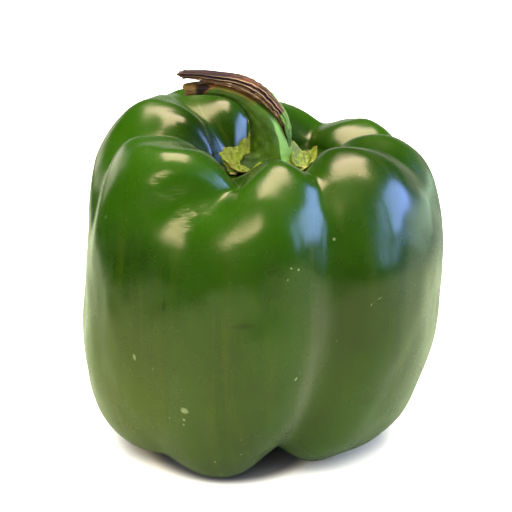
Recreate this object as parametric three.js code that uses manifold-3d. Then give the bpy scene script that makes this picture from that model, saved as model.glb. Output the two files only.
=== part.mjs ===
// A green bell pepper standing on its lobes: the blocky hollow-topped fruit, the calyx that sits
// in the hollow, and the bent stem, which has dried and split towards its tip.
// Millimetres, +Z up, the stem leaning towards -X, the front of the fruit towards -Y.
import * as THREE from "three";
import { mergeVertices } from "three/addons/utils/BufferGeometryUtils.js";
import Module from "manifold-3d";

const wasm = await Module();
wasm.setup();

// Fruit
// Each ring lists landmarks by azimuth in degrees, 0 along +X and -90 towards the front.
// Tops of the shoulders: azimuth, radius, height, and how far inside them the hollow's wall stands.
const SHOULDERS = [
  [-178, 30, 86.3, 16],
  [-145, 34, 86, 17],
  [-88, 25, 83.5, 12],
  [-46, 27, 84.5, 12],
  [-8, 28.5, 83.2, 12],
  [30, 33, 82, 14],
  [80, 29, 84.5, 12],
  [106, 29, 88, 15],
  [130, 37, 88.4, 23],
  [158, 31, 89.3, 17],
];
// Where the side stands upright: azimuth, radius, height.
const SIDES = [
  [-152, 47, 42],
  [-100, 45, 48],
  [-40, 46.5, 52],
  [0, 47.3, 53],
  [50, 45, 52],
  [110, 45, 50],
  [172, 45.2, 52],
];
// Lowest run round the base: azimuth, radius, height. The lobes reach a little below the ground
// plane, which flattens them into feet.
const FEET = [
  [-153, 31, 0.8],
  [-115, 28, -0.5],
  [-85, 24, 1.2],
  [-48, 18.5, 0.2],
  [0, 27, 1.2],
  [48, 28, -0.5],
  [102, 28, 1.2],
  [150, 32, -0.5],
];
// Furrows between the lobes. Azimuths and depths are given at the seat of the calyx, the
// shoulder, the side and the foot.
const FURROWS = [
  { azimuths: [-56, -64, -68, -85], depths: [1, 5, 4.6, 6], halfWidth: 26 },
  { azimuths: [-128, -104, -122, -139], depths: [1.5, 7.5, 1.2, 2.2], halfWidth: 25 },
  { azimuths: [-22, -22, -15, -10], depths: [0.5, 1.4, 0.5, 0], halfWidth: 20 },
  { azimuths: [20, 18, 15, 0], depths: [1.5, 4.5, 2, 4], halfWidth: 22 },
  { azimuths: [56, 59, 70, 80], depths: [1.5, 5, 1.5, 0], halfWidth: 26 },
  { azimuths: [112, 100, 95, 90], depths: [2, 3.6, 0.5, 0], halfWidth: 20 },
  { azimuths: [136, 140, 134, 102], depths: [0.5, 2.2, 3, 4.4], halfWidth: 20 },
  { azimuths: [-174, -174, -170, -160], depths: [1.5, 4, 1, 1.5], halfWidth: 18 },
];
// How rounded the bottom of a furrow is at the shoulder, the side and the foot.
const FURROW_SOFTNESS = [0.1, 0.25, 0.12];
// Low swellings on the left; station counts 1 at the shoulder, 2 at the side and 3 at the foot.
const SWELLINGS = [
  { azimuth: 186, station: 2.38, reach: 4.4, halfWidth: 28, halfLength: 0.38 },
  { azimuth: 168, station: 1.6, reach: 2, halfWidth: 18, halfLength: 0.25 },
];
// Fullness of the curves wall to shoulder, shoulder to side and side to foot: 2 is a quarter ellipse.
const FULLNESS = [2.1, 2.25, 2.25];
const SEAT = { x: 1.5, radius: 13, height: 74 };
// The hollow's floor rises gently from the seat to the wall. The share is the part of the first
// station that the floor takes.
const FLOOR = { rise: 1.5, share: 0.3 };
const BLOSSOM_SCAR_HEIGHT = 10;
const FURROW_START = 0.35;
const FURROW_END = 3.35;
const FRUIT_COLUMNS = 84;
const FRUIT_ROWS = 44;

// Calyx
const GAP = 0.3;
const CALYX_RADIUS = 12.2;
const CALYX_THICKNESS = 1.5;
const CALYX_COLUMNS = 66;
const CALYX_ROWS = 14;
// Pointed teeth round the rim: azimuth, reach from the stem.
const TEETH = [
  [-127, 14.4],
  [-85, 13.2],
  [-40, 13.8],
  [21, 14.4],
  [90, 13.8],
  [156, 14.2],
];
const TOOTH_HALF_WIDTH = 12;
const DISH_START = 8;
const DISH_CURVE = 0.095;
const WALL_CLEARANCE = 0.75;
const COLLAR = { radius: 6.2, height: 1.2, slope: 2.2 };

// Stem
// Stations from foot to tip: x and height of the centre line, thickness across the bend, width.
const STEM_FOOT = SEAT.height + GAP + CALYX_THICKNESS + COLLAR.height + GAP;
const MAIN_STEM = [
  [1.9, STEM_FOOT, 12.4, 11.6],
  [1.8, 79.4, 11.2, 10.6],
  [1.3, 83.0, 10.0, 9.8],
  [0.2, 86.6, 8.4, 9.2],
  [-1.9, 89.6, 6.2, 8.4],
  [-4.8, 92.5, 4.4, 7.6],
  [-8.4, 94.4, 3.6, 6.8],
  [-13.6, 95.4, 3.5, 6.2],
  [-19.8, 95.0, 3.1, 5.0],
];
const DRIED_STRAND = [
  [6.4, 80.2, 1.2, 2.6],
  [5.7, 84.6, 2.2, 4.6],
  [4.7, 87.7, 2.6, 6.0],
  [3.0, 90.4, 3.0, 6.8],
  [0.7, 92.9, 3.4, 7.2],
  [-2.2, 95.2, 3.6, 7.2],
  [-6.9, 97.3, 3.2, 6.8],
  [-13.0, 98.4, 2.7, 6.2],
  [-17.5, 98.9, 2.1, 5.6],
  [-21.6, 98.9, 1.8, 4.6],
];
const STEM_RIDGES = 5;
const STEM_RIDGE_RISE = 0.07;
const STEM_RIDGE_TURN = 28;
const STEM_SIDES = 20;
const STEM_STEPS = 24;
const STRAND_SIDES = 16;
const STRAND_STEPS = 22;

const { lerp, clamp, degToRad, radToDeg } = THREE.MathUtils;
const ease = (x) => THREE.MathUtils.smoothstep(x, 0, 1);
const turn = (degrees) => THREE.MathUtils.euclideanModulo(degrees, 360);
const wrap = (degrees) => turn(degrees + 180) - 180;
const bell = (x) => Math.exp(-x * x);

// One column of a ring of landmarks at an azimuth, eased from each landmark to the next.
function aroundRing(ring, azimuth, column) {
  const passed = ring.map((landmark) => turn(azimuth - landmark[0]));
  const from = passed.indexOf(Math.min(...passed));
  const to = (from + 1) % ring.length;
  const span = turn(ring[to][0] - ring[from][0]);
  return lerp(ring[from][column], ring[to][column], ease(passed[from] / span));
}

// A value given at the shoulder, the side and the foot, at a station between them.
function alongSide([shoulder, side, foot], station) {
  const upper = lerp(shoulder, side, ease(station - 1));
  return upper + (foot - side) * ease(station - 2);
}

// The same with a fourth value, at the seat of the calyx.
function alongSection([seat, shoulder, side, foot], station) {
  return alongSide([shoulder, side, foot], station) + (seat - shoulder) * (1 - ease(station));
}

// Radius of the foot of the hollow's wall.
function wallFoot(azimuth) {
  return Math.max(aroundRing(SHOULDERS, azimuth, 1) - aroundRing(SHOULDERS, azimuth, 3), SEAT.radius);
}

// Radius and height of the hollow's floor and wall, from the seat to the shoulder.
function hollow(azimuth, part) {
  const foot = wallFoot(azimuth);
  if (part < FLOOR.share) {
    const out = part / FLOOR.share;
    return [lerp(SEAT.radius, foot, out), SEAT.height + FLOOR.rise * out ** 2];
  }
  const up = (((part - FLOOR.share) / (1 - FLOOR.share)) * Math.PI) / 2;
  const [radius, height] = [1, 2].map((k) => aroundRing(SHOULDERS, azimuth, k));
  return [
    lerp(radius, foot, Math.cos(up) ** (2 / FULLNESS[0])),
    lerp(SEAT.height + FLOOR.rise, height, Math.sin(up) ** (2 / FULLNESS[0])),
  ];
}

// Radius and height of the section before furrows. Stations: -1 to 0 is the seat under the
// calyx, 1 the shoulder, 2 the side, 3 the foot and 4 the blossom scar.
function section(azimuth, station) {
  const [shoulderRadius, shoulderHeight] = [1, 2].map((k) => aroundRing(SHOULDERS, azimuth, k));
  const [sideRadius, sideHeight] = [1, 2].map((k) => aroundRing(SIDES, azimuth, k));
  const [footRadius, footHeight] = [1, 2].map((k) => aroundRing(FEET, azimuth, k));
  if (station <= 0) return [SEAT.radius * (1 + station), SEAT.height];
  const quarter = Math.min(Math.floor(station), 3);
  const part = station - quarter;
  if (quarter === 0) return hollow(azimuth, part);
  if (quarter === 3) {
    return [footRadius * (1 - part), lerp(footHeight, BLOSSOM_SCAR_HEIGHT, ease(part))];
  }
  const fullness = 2 / FULLNESS[quarter];
  const falling = Math.cos((part * Math.PI) / 2) ** fullness;
  const rising = Math.sin((part * Math.PI) / 2) ** fullness;
  if (quarter === 1) {
    return [
      shoulderRadius + (sideRadius - shoulderRadius) * rising,
      sideHeight + (shoulderHeight - sideHeight) * falling,
    ];
  }
  return [
    footRadius + (sideRadius - footRadius) * falling,
    sideHeight + (footHeight - sideHeight) * rising,
  ];
}

// How far the furrows press the skin in, less how far the swellings push it out.
function furrowDepth(azimuth, station) {
  const softness = alongSide(FURROW_SOFTNESS, station);
  const fade = ease(station / FURROW_START) * (1 - ease((station - FURROW_END) / (4 - FURROW_END)));
  let depth = 0;
  for (const furrow of FURROWS) {
    const middle = alongSection(furrow.azimuths, station);
    const away = wrap(azimuth - middle) / furrow.halfWidth;
    const slope = Math.hypot(away, softness) - softness;
    const full = Math.hypot(1, softness) - softness;
    depth += alongSection(furrow.depths, station) * clamp(1 - slope / full, 0, 1) ** 2;
  }
  for (const swelling of SWELLINGS) {
    const across = bell(wrap(azimuth - swelling.azimuth) / swelling.halfWidth);
    const along = bell((station - swelling.station) / swelling.halfLength);
    depth -= swelling.reach * across * along;
  }
  return depth * fade;
}

// A point of the finished skin. The ground plane flattens the feet.
function skinPoint(azimuth, station) {
  const nudge = 0.004;
  const [radius, height] = section(azimuth, station);
  const [radiusBefore, heightBefore] = section(azimuth, station - nudge);
  const [radiusAfter, heightAfter] = section(azimuth, station + nudge);
  const along = new THREE.Vector2(radiusAfter - radiusBefore, heightAfter - heightBefore).normalize();
  const depth = furrowDepth(azimuth, clamp(station, 0, 4));
  const skinRadius = radius + depth * along.y;
  const skinHeight = Math.max(height - depth * along.x, 0);
  const lean = SEAT.x * (1 - ease(station));
  const angle = degToRad(azimuth);
  return [skinRadius * Math.cos(angle) + lean, skinRadius * Math.sin(angle), skinHeight];
}

// Moves every vertex of a unit sphere, poles on Y, to place(azimuth, polar angle).
function mappedSphere(columns, rows, place) {
  const sphere = new THREE.SphereGeometry(1, columns, rows);
  const points = sphere.attributes.position;
  for (let i = 0; i < points.count; i++) {
    const polar = Math.acos(clamp(points.getY(i), -1, 1));
    const azimuth = radToDeg(Math.atan2(-points.getZ(i), points.getX(i)));
    points.setXYZ(i, ...place(azimuth, polar));
  }
  return closed(sphere);
}

// Leaves only shared positions, so that the surface is one closed body.
function closed(geometry) {
  geometry.deleteAttribute("normal");
  geometry.deleteAttribute("uv");
  return mergeVertices(geometry, 1e-4);
}

function fruit() {
  const seatShare = 0.3;
  return mappedSphere(FRUIT_COLUMNS, FRUIT_ROWS, (azimuth, polar) => {
    const run = (polar / Math.PI) * (4 + seatShare) - seatShare;
    return skinPoint(azimuth, run < 0 ? run / seatShare : Math.min(run, 4));
  });
}

// Height of the hollow under a point of the calyx.
function hollowHeight(azimuth, reach) {
  if (reach <= SEAT.radius) return SEAT.height;
  const foot = wallFoot(azimuth);
  if (reach < foot) {
    return SEAT.height + FLOOR.rise * ((reach - SEAT.radius) / (foot - SEAT.radius)) ** 2;
  }
  const [radius, height] = [1, 2].map((k) => aroundRing(SHOULDERS, azimuth, k));
  const falling = ((radius - reach) / (radius - foot)) ** (FULLNESS[0] / 2);
  const rising = Math.sqrt(1 - falling * falling) ** (2 / FULLNESS[0]);
  return lerp(SEAT.height + FLOOR.rise, height, rising);
}

function calyx() {
  return mappedSphere(CALYX_COLUMNS, CALYX_ROWS, (azimuth, polar) => {
    const teeth = TEETH.map(([middle, reach]) => {
      return (reach - CALYX_RADIUS) * bell(wrap(azimuth - middle) / TOOTH_HALF_WIDTH);
    });
    const rim = teeth.reduce((sum, tooth) => sum + tooth, CALYX_RADIUS);
    const reach = rim * Math.sin(polar);
    const dish = DISH_CURVE * Math.max(reach - DISH_START, 0) ** 2;
    const clearance = reach > SEAT.radius ? WALL_CLEARANCE : 0;
    const underside = Math.max(SEAT.height + GAP + dish, hollowHeight(azimuth, reach) + clearance);
    const collar = COLLAR.height * (1 - ease((reach - COLLAR.radius) / COLLAR.slope));
    const top = Math.cos(polar);
    const height = underside + (CALYX_THICKNESS * (1 + top)) / 2 + (top > 0 ? collar : 0);
    const angle = degToRad(azimuth);
    return [SEAT.x + reach * Math.cos(angle), reach * Math.sin(angle), height];
  });
}

// A round bar whose centre line, thickness and width pass through the stations.
function strand(stations, sides, steps, ridgeRise) {
  const line = new THREE.CatmullRomCurve3(stations.map(([x, z]) => new THREE.Vector3(x, 0, z)));
  const sizes = new THREE.CatmullRomCurve3(stations.map(([, , t, w]) => new THREE.Vector3(t, w, 0)));
  const bar = new THREE.CylinderGeometry(1, 1, 1, sides, steps);
  const points = bar.attributes.position;
  for (let i = 0; i < points.count; i++) {
    const share = clamp(points.getY(i) + 0.5, 0, 1);
    const centre = line.getPoint(share);
    const along = line.getTangent(share);
    const size = sizes.getPoint(share);
    const angle = Math.atan2(points.getX(i), points.getZ(i));
    const ridge = 1 + ridgeRise * Math.cos(STEM_RIDGES * (angle - degToRad(STEM_RIDGE_TURN)));
    const across = (points.getX(i) * ridge * size.x) / 2;
    const sideways = (points.getZ(i) * ridge * size.y) / 2;
    points.setXYZ(i, centre.x + across * along.z, -sideways, centre.z - across * along.x);
  }
  return closed(bar);
}

function solid(geometry) {
  return new wasm.Manifold(
    new wasm.Mesh({
      numProp: 3,
      vertProperties: geometry.attributes.position.array,
      triVerts: geometry.index.array,
    }),
  );
}

function stem() {
  const main = solid(strand(MAIN_STEM, STEM_SIDES, STEM_STEPS, STEM_RIDGE_RISE));
  const dried = solid(strand(DRIED_STRAND, STRAND_SIDES, STRAND_STEPS, 0));
  const joined = main.add(dried).getMesh();
  const geometry = new THREE.BufferGeometry();
  geometry.setAttribute("position", new THREE.BufferAttribute(joined.vertProperties, 3));
  geometry.setIndex(new THREE.BufferAttribute(joined.triVerts, 1));
  return geometry;
}

const SKIN = { color: 0x2f6b12, roughness: 0.22, metalness: 0 };
const CALYX_GREEN = { color: 0x8a9a35, roughness: 0.6, metalness: 0 };
const STEM_GREEN = { color: 0x5c8a2c, roughness: 0.55, metalness: 0 };

function piece(name, geometry, finish) {
  const mesh = new THREE.Mesh(geometry, new THREE.MeshStandardMaterial(finish));
  mesh.name = name;
  return mesh;
}

const pepper = new THREE.Group();
pepper.add(piece("fruit", fruit(), SKIN));
pepper.add(piece("calyx", calyx(), CALYX_GREEN));
pepper.add(piece("stem", stem(), STEM_GREEN));

// The origin is under the middle of the whole, on the plane that it stands on.
const reach = new THREE.Box3().setFromObject(pepper);
const middle = reach.getCenter(new THREE.Vector3());
for (const mesh of pepper.children) mesh.position.set(-middle.x, -middle.y, -reach.min.z);

export default pepper;
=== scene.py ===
"""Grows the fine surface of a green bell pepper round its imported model, on a pale table in soft light."""

import math

import bpy
import numpy as np
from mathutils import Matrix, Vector


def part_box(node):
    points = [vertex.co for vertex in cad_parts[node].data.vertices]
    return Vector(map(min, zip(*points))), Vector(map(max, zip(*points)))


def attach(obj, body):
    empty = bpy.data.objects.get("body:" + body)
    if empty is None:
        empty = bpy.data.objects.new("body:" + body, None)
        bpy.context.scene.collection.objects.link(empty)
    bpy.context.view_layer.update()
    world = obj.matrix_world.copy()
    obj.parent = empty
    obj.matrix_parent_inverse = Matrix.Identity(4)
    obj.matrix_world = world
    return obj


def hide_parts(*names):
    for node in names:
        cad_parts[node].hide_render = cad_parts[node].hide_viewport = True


bl_info = {
    "name": "Bell Pepper",
    "version": (1, 0, 0),
    "blender": (4, 5, 0),
    "location": "View3D > Sidebar > Bell Pepper",
    "description": "Grows a green bell pepper with its calyx and split stem on a pale table",
    "category": "Object",
}

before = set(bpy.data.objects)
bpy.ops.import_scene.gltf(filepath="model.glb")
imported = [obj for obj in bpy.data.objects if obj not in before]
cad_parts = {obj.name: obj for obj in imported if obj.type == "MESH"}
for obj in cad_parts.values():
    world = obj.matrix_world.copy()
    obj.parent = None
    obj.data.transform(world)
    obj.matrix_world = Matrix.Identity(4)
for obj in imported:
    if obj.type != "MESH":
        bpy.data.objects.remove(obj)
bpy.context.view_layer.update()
MM = 0.001

# The fruit's landmarks, in millimetres and degrees: azimuth 0 along +X, -90 towards the front.
# Tops of the shoulders: azimuth, radius, height, and how far inside them the hollow's wall stands.
SHOULDERS = (
    (-178, 30, 86.3, 16),
    (-145, 34, 86, 17),
    (-88, 25, 83.5, 12),
    (-46, 27, 84.5, 12),
    (-8, 28.5, 83.2, 12),
    (30, 33, 82, 14),
    (80, 29, 84.5, 12),
    (106, 29, 88, 15),
    (130, 37, 88.4, 23),
    (158, 31, 89.3, 17),
)
# Where the side stands upright: azimuth, radius, height.
SIDES = (
    (-152, 47, 42),
    (-100, 45, 48),
    (-40, 46.5, 52),
    (0, 47.3, 53),
    (50, 45, 52),
    (110, 45, 50),
    (172, 45.2, 52),
)
# Lowest run round the base: azimuth, radius, height.
FEET = (
    (-153, 31, 0.8),
    (-115, 28, -0.5),
    (-85, 24, 1.2),
    (-48, 18.5, 0.2),
    (0, 27, 1.2),
    (48, 28, -0.5),
    (102, 28, 1.2),
    (150, 32, -0.5),
)
# Furrows: azimuths and depths at the seat of the calyx, shoulder, side and foot, and half width.
FURROWS = (
    ((-56, -64, -68, -85), (1, 5, 4.6, 6), 26),
    ((-128, -104, -122, -139), (1.5, 7.5, 1.2, 2.2), 25),
    ((-22, -22, -15, -10), (0.5, 1.4, 0.5, 0), 20),
    ((20, 18, 15, 0), (1.5, 4.5, 2, 4), 22),
    ((56, 59, 70, 80), (1.5, 5, 1.5, 0), 26),
    ((112, 100, 95, 90), (2, 3.6, 0.5, 0), 20),
    ((136, 140, 134, 102), (0.5, 2.2, 3, 4.4), 20),
    ((-174, -174, -170, -160), (1.5, 4, 1, 1.5), 18),
)
FRONT_FURROW_AZIMUTHS = FURROWS[0][0]
FURROW_SOFTNESS = (0.1, 0.25, 0.12)
FURROW_START = 0.35
FURROW_END = 3.35
# Low swellings on the left: azimuth, station, reach, half width in degrees, half length.
SWELLINGS = (
    (186, 2.38, 4.4, 28, 0.38),
    (168, 1.6, 2, 18, 0.25),
)
# Fullness of the hollow, shoulder and side: 2 is an ellipse.
FULLNESS = (2.1, 2.25, 2.25)
SEAT_X, SEAT_RADIUS, SEAT_HEIGHT = 1.5, 13, 74
# Rise of the hollow's floor, and its share of the first station.
FLOOR_RISE, FLOOR_SHARE = 1.5, 0.3
# Height of the blossom scar, and the radius out to which the skin is corky.
SCAR_HEIGHT, SCAR_RADIUS = 10, 1.6
# How long the seat of the calyx is on the ball, where each station after it is 1 long.
SEAT_SHARE = 0.3
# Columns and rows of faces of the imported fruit.
CAD_COLUMNS, CAD_ROWS = 84, 44

# Shallow dents (negative) and swellings of the skin: centre, reach, height.
DENTS = (
    ((-22.6, -32.6, 72.6), 5.4, -1.4),
    ((30.5, -31, 68), 2.2, 0.12),
    ((-34, -28, 55), 14, -0.3),
    ((30, -32, 40), 13, 0.4),
    ((-14, -40, 30), 14, 0.3),
    ((-31.5, 0, 84.5), 8, -0.8),
    ((-11, 11.5, 79), 7, -1.5),
    ((-12.5, -34, 75.5), 5, -0.8),
    ((-18, -32.5, 77), 4.5, -0.9),
    ((-31, -27, 81), 7.5, 1),
    ((3, -33, 81), 6, -0.95),
    ((3, -33, 81), 13, 0.6),
    ((-35.5, -0.5, 82), 6.5, -1),
    ((-25, 21, 87), 5, 2.2),
    ((-23.2, 1, 85.2), 6.5, 0.9),
    ((-18.5, 23, 87.5), 6, -1.3),
    ((-11, 19.7, 86.2), 6, 0.8),
    ((-22.5, -30.5, 80.5), 6.5, 0.6),
)
# Finely rippled places on the shoulders: centre, reach along each axis, strength.
CRUMPLES = (
    ((-17.5, -34, 72), (4.5, 6, 5), 1),
    ((-23, -31, 77), (4, 5, 2.5), 0.7),
    ((-9.5, -40.5, 69.5), (6.5, 5, 3), 0.35),
    ((15, -27, 79), (3, 4, 3), 0.3),
    ((-16.5, 17.5, 85), (3, 5, 4), 0.8),
    ((-23, -31.5, 80.6), (4.5, 5, 2.6), 0.9),
)
CRUMPLE_HEIGHT = 0.042
# Dull place on a rear shoulder: centre, reach along each axis.
DULL_PLACE = ((-17, 17.5, 85), (4.5, 5, 4.5))

# Stem: x and height of the centre line, thickness across the bend, width along Y.
STALK = (
    (1.7, 75.6, 14.2, 13.4),
    (1.8, 77.4, 12.2, 11.4),
    (1.8, 79.6, 11, 10.5),
    (1.3, 83, 9.9, 9.8),
    (0.2, 86.6, 8.4, 9.2),
    (-1.9, 89.6, 6.2, 8.4),
    (-4.8, 92.5, 4.4, 7.6),
    (-8.4, 94.4, 3.6, 6.8),
    (-13.6, 95.4, 3.5, 6.2),
    (-19.8, 95, 3.1, 5),
)
DRIED_STRAND = (
    (6.4, 79.4, 1.4, 3.4),
    (5.9, 84.2, 2.4, 5.4),
    (4.7, 87.7, 2.8, 6.4),
    (3, 90.4, 3, 6.9),
    (0.7, 92.9, 3.4, 7.2),
    (-2.2, 95.2, 3.6, 7.2),
    (-6.9, 97.3, 3.2, 6.8),
    (-13, 98.4, 2.7, 6.2),
    (-17.5, 98.9, 2.1, 5.6),
    (-20.9, 98.9, 1.9, 4.6),
)
# Stripes of the dried strand: angle from its outer side, half width, tone from dark to pale.
STRIPES = (
    (14, 10, 0.4),
    (-12, 8, -0.6),
    (-30, 6, 0.45),
    (-43, 5, -0.5),
    (-56, 6, 0.9),
    (-71, 9, -1.3),
    (-87, 6.5, 1.3),
    (-104, 10, -1.3),
    (-125, 11, 1.2),
    (-150, 9, -0.9),
)
# Calyx teeth: azimuth, reach from the stem, curl of the tip upwards.
TEETH = (
    (-127, 11.2, 0),
    (-85, 13.2, 0.2),
    (-40, 13.8, 0.2),
    (21, 13.3, 0.7),
    (90, 13.8, 0.4),
    (156, 13.1, 0.6),
)
TOOTH_HALF_WIDTH = 21
CALYX_RADIUS = 12.2
CALYX_THICKNESS = 1.3
FLAP_THICKNESS = 0.55
# Raised flaps: front and rear corner at the stem and at the tip, and the curl of the last one.
FLAPS = (
    ((-3.6, -6.8, 75.4), (-3.2, 2.4, 82.2), (-8.6, -7.4, 74.6), (-11.6, 2, 77.5), 0.5),
    ((7.2, -5.5, 77.4), (7.2, 2, 81.2), (11, -6.7, 76), (12.2, 2, 77.6), 0.7),
)
FIBRE_COUNT = 9
FIBRE_THICKNESS = 0.34

# Marks on the skin, in millimetres: centre, half sizes, turn in degrees seen from the front.
SCUFFS = (
    ((-32, -33, 35.5), (0.35, 0.9), -12),
    ((-27.4, -36, 33.3), (0.3, 0.45), 50),
    ((-19.6, -38.7, 23.6), (1.05, 0.85), 0),
    ((-19.7, -38, 20.9), (0.45, 0.35), 0),
    ((-19.8, -37.6, 19.4), (0.35, 0.35), 0),
    ((-38.4, -22.2, 68.6), (0.55, 0.85), 12),
    ((16.6, -36, 67.3), (0.42, 0.42), 0),
    ((17.7, -38.3, 41.8), (0.3, 0.5), 0),
    ((7.7, -41.7, 33.4), (0.3, 0.55), 25),
    ((8.6, -41.7, 35), (0.2, 0.4), 25),
    ((37, -27.2, 48.2), (0.55, 0.16), -35),
    ((36.2, -28.3, 47.7), (0.5, 0.14), 40),
    ((35, -29.6, 46.6), (0.4, 0.13), -60),
    ((33.8, -31, 45.2), (0.5, 0.12), 60),
    ((27.8, -35.6, 52.3), (0.7, 0.14), -30),
    ((25.8, -36.4, 50.9), (0.6, 0.12), -60),
    ((8.1, -41.8, 61.7), (0.3, 0.3), 0),
    ((6.3, -42.4, 62.3), (0.35, 0.2), 30),
    ((5.5, -43.1, 59.6), (0.2, 0.3), 0),
    ((-12.2, -36.4, 8.5), (0.35, 0.35), 0),
    ((-23.6, -35.9, 20.1), (0.3, 0.3), 0),
    ((-16.8, 17.2, 85.1), (0.13, 3), -42),
)

# Soft dark smudges: centre, half sizes, turn.
SMUDGES = (
    ((-24.2, -37.4, 50.6), (0.5, 1.1), 15),
    ((-5, -44.7, 48.4), (2.2, 0.7), -8),
)

# Studio, in metres. Ends of the table along X and along Y.
TABLE_X = (-0.2, 0.34)
TABLE_Y = (-0.36, 0.9)
# Contact shade on the table: centre, half sizes, share at which it is full, colour.
CONTACT_SHADES = (
    ((-0.008, -0.002, 0), (0.031, 0.031, 1), 0.78, (0.68, 0.58, 0.45)),
    ((-0.008, -0.008, 0), (0.024, 0.026, 1), 0.8, (0.16, 0.165, 0.175)),
)
# Radiance of the ceiling lights, the window and its side pane.
WARM = (14.4, 10.7, 10)
COOL = (4.4, 6.6, 20.5)
COOL_SIDE = tuple(0.6 * c for c in COOL)
# Ceiling panels that only the gloss mirrors: name, centre, size, turn in degrees.
CEILING_PANELS = (
    ("ceiling_panel", (0.03, 0.42, 1.5), (1.08, 1.2), 0),
    ("far_ceiling_panel", (-1.45, -2.15, 1.5), (2.4, 0.9), 30),
)
# Upright panels that only the gloss mirrors: name, centre, size, radiance.
MIRRORED_PANELS = (
    ("window", (1.5, 0.05, 0.55), (1.35, 0.9), COOL),
    ("window_side_pane", (1.25, -0.86, 0.5), (0.28, 0.8), COOL_SIDE),
    ("backdrop", (0, 1.4, 0.22), (3.2, 0.44), (0.62, 0.6, 0.54)),
    ("left_wall", (-0.94, 1.09, 0.16), (0.6, 0.5), (1.9, 1.65, 1.4)),
    ("right_wall", (1.05, 0.75, -0.14), (1, 0.36), (2, 2.7, 2.3)),
)
# Broad panels that the gloss doesn't mirror: name, centre, size, radiance.
FILL_PANELS = (
    ("overhead_fill", (0, -0.15, 1.3), (1.7, 1.7), (8.6, 8.1, 7)),
    ("front_fill", (-0.6, -1.1, 0.95), (1.5, 1.2), (3.2, 3.1, 2.7)),
    ("window_fill", (1.5, 0.05, 0.52), (1.35, 0.95), (3.4, 4, 4.6)),
)


def ease(x):
    """Goes smoothly from 0 at 0 to 1 at 1."""
    x = np.clip(x, 0, 1)
    return x * x * (3 - 2 * x)


def rise(x, start, length):
    """Goes smoothly from 0 at the start to 1 a length further on, which may be backwards."""
    return ease((x - start) / length)


def fall(x, start, length):
    """Goes smoothly from 1 at the start to 0 a length further on."""
    return 1 - rise(x, start, length)


def bell(x):
    """1 at 0, and almost 0 from 2 on."""
    return np.exp(-x * x)


def wrap(degrees):
    """The same angle from -180 to 180."""
    return np.mod(degrees + 180, 360) - 180


def facing(degrees, middle, half_width):
    """1 at an angle, and almost 0 from twice the half width on."""
    return bell(wrap(degrees - middle) / half_width)


def around_ring(ring, azimuth):
    """Columns of a ring of landmarks at an azimuth, eased from each landmark to the next."""
    marks = np.array(sorted((mark[0] % 360, *mark[1:]) for mark in ring), float)
    marks = np.concatenate([marks[-1:], marks, marks[:1]])
    marks[0, 0] -= 360
    marks[-1, 0] += 360
    at = marks[:, 0]
    here = np.mod(azimuth, 360)
    i = np.clip(np.searchsorted(at, here, side="right") - 1, 0, len(at) - 2)
    share = rise(here, at[i], at[i + 1] - at[i])
    return [column[i] + (column[i + 1] - column[i]) * share for column in marks.T[1:]]


def along_side(values, station):
    """Eases between values at the shoulder, side and foot."""
    shoulder, side, foot = values
    return shoulder + (side - shoulder) * ease(station - 1) + (foot - side) * ease(station - 2)


def along_section(values, station):
    """Eases between values at the seat, shoulder, side and foot."""
    seat, shoulder, side, foot = values
    return along_side((shoulder, side, foot), station) + (seat - shoulder) * (1 - ease(station))


def wall_foot(azimuth):
    """Radius of the foot of the hollow's wall."""
    radius, _, inside = around_ring(SHOULDERS, azimuth)
    return np.maximum(radius - inside, SEAT_RADIUS + 0.01)


def hollow(azimuth, part):
    """Radius and height of the hollow's floor and wall, from the seat to the shoulder."""
    shoulder_r, shoulder_z, _ = around_ring(SHOULDERS, azimuth)
    foot = wall_foot(azimuth)
    out = np.clip(part / FLOOR_SHARE, 0, 1)
    up = np.clip((part - FLOOR_SHARE) / (1 - FLOOR_SHARE), 0, 1) * np.pi / 2
    falling = np.clip(np.cos(up), 0, 1) ** (2 / FULLNESS[0])
    rising = np.clip(np.sin(up), 0, 1) ** (2 / FULLNESS[0])
    floor_z = SEAT_HEIGHT + FLOOR_RISE
    floor = SEAT_RADIUS + (foot - SEAT_RADIUS) * out, SEAT_HEIGHT + FLOOR_RISE * out**2
    wall = shoulder_r - (shoulder_r - foot) * falling, floor_z + (shoulder_z - floor_z) * rising
    return np.where(part < FLOOR_SHARE, floor, wall)


def section(azimuth, station):
    """Radius and height before furrows. Station 0 is the seat's edge, 1 the shoulder, 2 the side,
    3 the foot and 4 the blossom scar."""
    shoulder_r, shoulder_z, _ = around_ring(SHOULDERS, azimuth)
    side_r, side_z = around_ring(SIDES, azimuth)
    foot_r, foot_z = around_ring(FEET, azimuth)
    quarter = np.clip(np.floor(station), 0, 3).astype(int)
    part = station - quarter
    fullness = 2 / np.array(FULLNESS + (2,))[quarter]
    falling = np.clip(np.cos(part * np.pi / 2), 0, 1) ** fullness
    rising = np.clip(np.sin(part * np.pi / 2), 0, 1) ** fullness
    quarters = (
        (SEAT_RADIUS * (1 + station), np.full_like(station, SEAT_HEIGHT)),
        hollow(azimuth, part),
        (shoulder_r + (side_r - shoulder_r) * rising, side_z + (shoulder_z - side_z) * falling),
        (foot_r + (side_r - foot_r) * falling, side_z + (foot_z - side_z) * rising),
        (foot_r * (1 - part), foot_z + (SCAR_HEIGHT - foot_z) * ease(part)),
    )
    return np.choose(np.where(station <= 0, 0, quarter + 1), quarters)


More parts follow.
